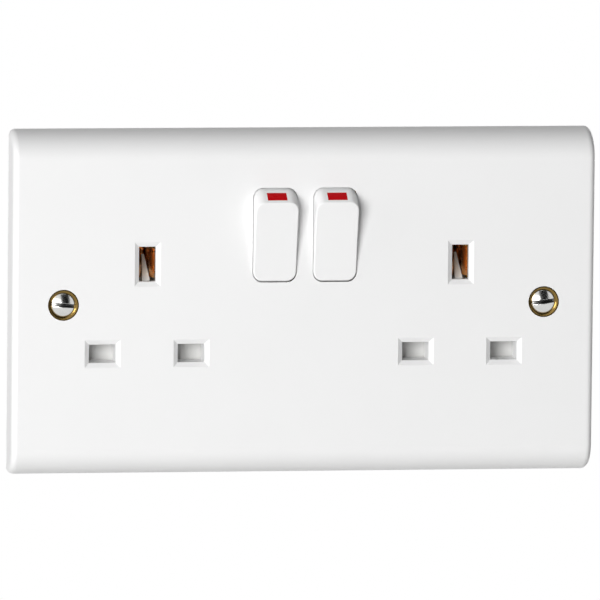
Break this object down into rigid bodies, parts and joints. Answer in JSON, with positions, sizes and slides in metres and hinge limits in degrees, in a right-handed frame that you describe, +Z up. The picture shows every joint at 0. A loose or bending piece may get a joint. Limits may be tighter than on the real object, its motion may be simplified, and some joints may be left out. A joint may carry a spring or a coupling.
{
  "type": "uk twin socket",
  "caption": "White twin switched wall socket plate with rocker switches, shuttered flat-pin outlets, rear terminals and slotted fixing screws.",
  "frame": {"origin": "centre of the plate on the wall's surface, midway between the fixing screws", "axes": "+X to the right as seen from the room, +Y into the wall, +Z up"},
  "size_m": [0.146, 0.0305, 0.086],
  "materials": {
    "white_urea": "glossy white moulding",
    "white_base": "satin white moulding",
    "white_shutter": "satin white moulding",
    "red_flag": "glossy deep red inlay",
    "natural_nylon": "natural nylon",
    "spring_steel": "bright drawn wire",
    "phosphor_bronze": "rolled phosphor bronze",
    "brass_strip": "stamped brass strip",
    "brass_block": "machined brass",
    "brass_eyelet": "bright drawn brass",
    "contact_silver": "silver rivet",
    "plated_steel": "bright nickel plate",
    "terminal_screw_brass": "turned brass"
  },
  "bodies": {
    "frame": {"front_plate": "white_urea", "rear_base": "white_base", "left_shutter_spring": "spring_steel", "right_shutter_spring": "spring_steel", "left_earth_contact": "phosphor_bronze", "right_earth_contact": "phosphor_bronze", "left_live_contact": "brass_strip", "right_live_contact": "brass_strip", "earth_strap": "brass_strip", "neutral_bar": "brass_strip", "live_feed_bar": "brass_strip", "live_terminal": "brass_block", "neutral_terminal": "brass_block", "earth_terminal": "brass_block", "left_eyelet": "brass_eyelet", "right_eyelet": "brass_eyelet", "left_fixed_rivet": "contact_silver", "right_fixed_rivet": "contact_silver", "fixing_screws": "plated_steel", "base_screws": "plated_steel", "live_terminal_screw": "terminal_screw_brass", "neutral_terminal_screw": "terminal_screw_brass", "earth_terminal_screw": "terminal_screw_brass"},
    "left_rocker": {"left_rocker": "white_urea", "left_rocker_flag": "red_flag", "left_plunger": "natural_nylon", "left_plunger_spring": "spring_steel"},
    "left_see_saw": {"left_moving_contact": "brass_strip", "left_moving_rivet": "contact_silver"},
    "left_shutter": {"left_shutter": "white_shutter"},
    "right_rocker": {"right_rocker": "white_urea", "right_rocker_flag": "red_flag", "right_plunger": "natural_nylon", "right_plunger_spring": "spring_steel"},
    "right_see_saw": {"right_moving_contact": "brass_strip", "right_moving_rivet": "contact_silver"},
    "right_shutter": {"right_shutter": "white_shutter"}
  },
  "joints": [
    {"name": "left_rocker_turn", "type": "hinge", "parent": "frame", "child": "left_rocker", "pos_m": [-0.00755, -0.0055, 0.0171], "axis": [-1, 0, 0], "range_deg": [0, 24.73]},
    {"name": "left_see_saw_turn", "type": "hinge", "parent": "frame", "child": "left_see_saw", "pos_m": [-0.00755, 0.009, 0.0171], "axis": [1, 0, 0], "range_deg": [0, 21]},
    {"name": "left_shutter_slide", "type": "slide", "parent": "frame", "child": "left_shutter", "axis": [0, 0, -1], "range_m": [0, 0.0056], "stiffness_N_per_m": 100, "springref_m": -0.005, "deforming": ["left_shutter_spring"]},
    {"name": "right_rocker_turn", "type": "hinge", "parent": "frame", "child": "right_rocker", "pos_m": [0.00755, -0.0055, 0.0171], "axis": [-1, 0, 0], "range_deg": [0, 24.73]},
    {"name": "right_see_saw_turn", "type": "hinge", "parent": "frame", "child": "right_see_saw", "pos_m": [0.00755, 0.009, 0.0171], "axis": [1, 0, 0], "range_deg": [0, 21]},
    {"name": "right_shutter_slide", "type": "slide", "parent": "frame", "child": "right_shutter", "axis": [0, 0, -1], "range_m": [0, 0.0056], "stiffness_N_per_m": 100, "springref_m": -0.005, "deforming": ["right_shutter_spring"]}
  ],
  "couplings": [
    {"joint": "left_see_saw_turn", "follows": "left_rocker_turn", "ratio": 0.8491},
    {"joint": "right_see_saw_turn", "follows": "right_rocker_turn", "ratio": 0.8491}
  ]
}
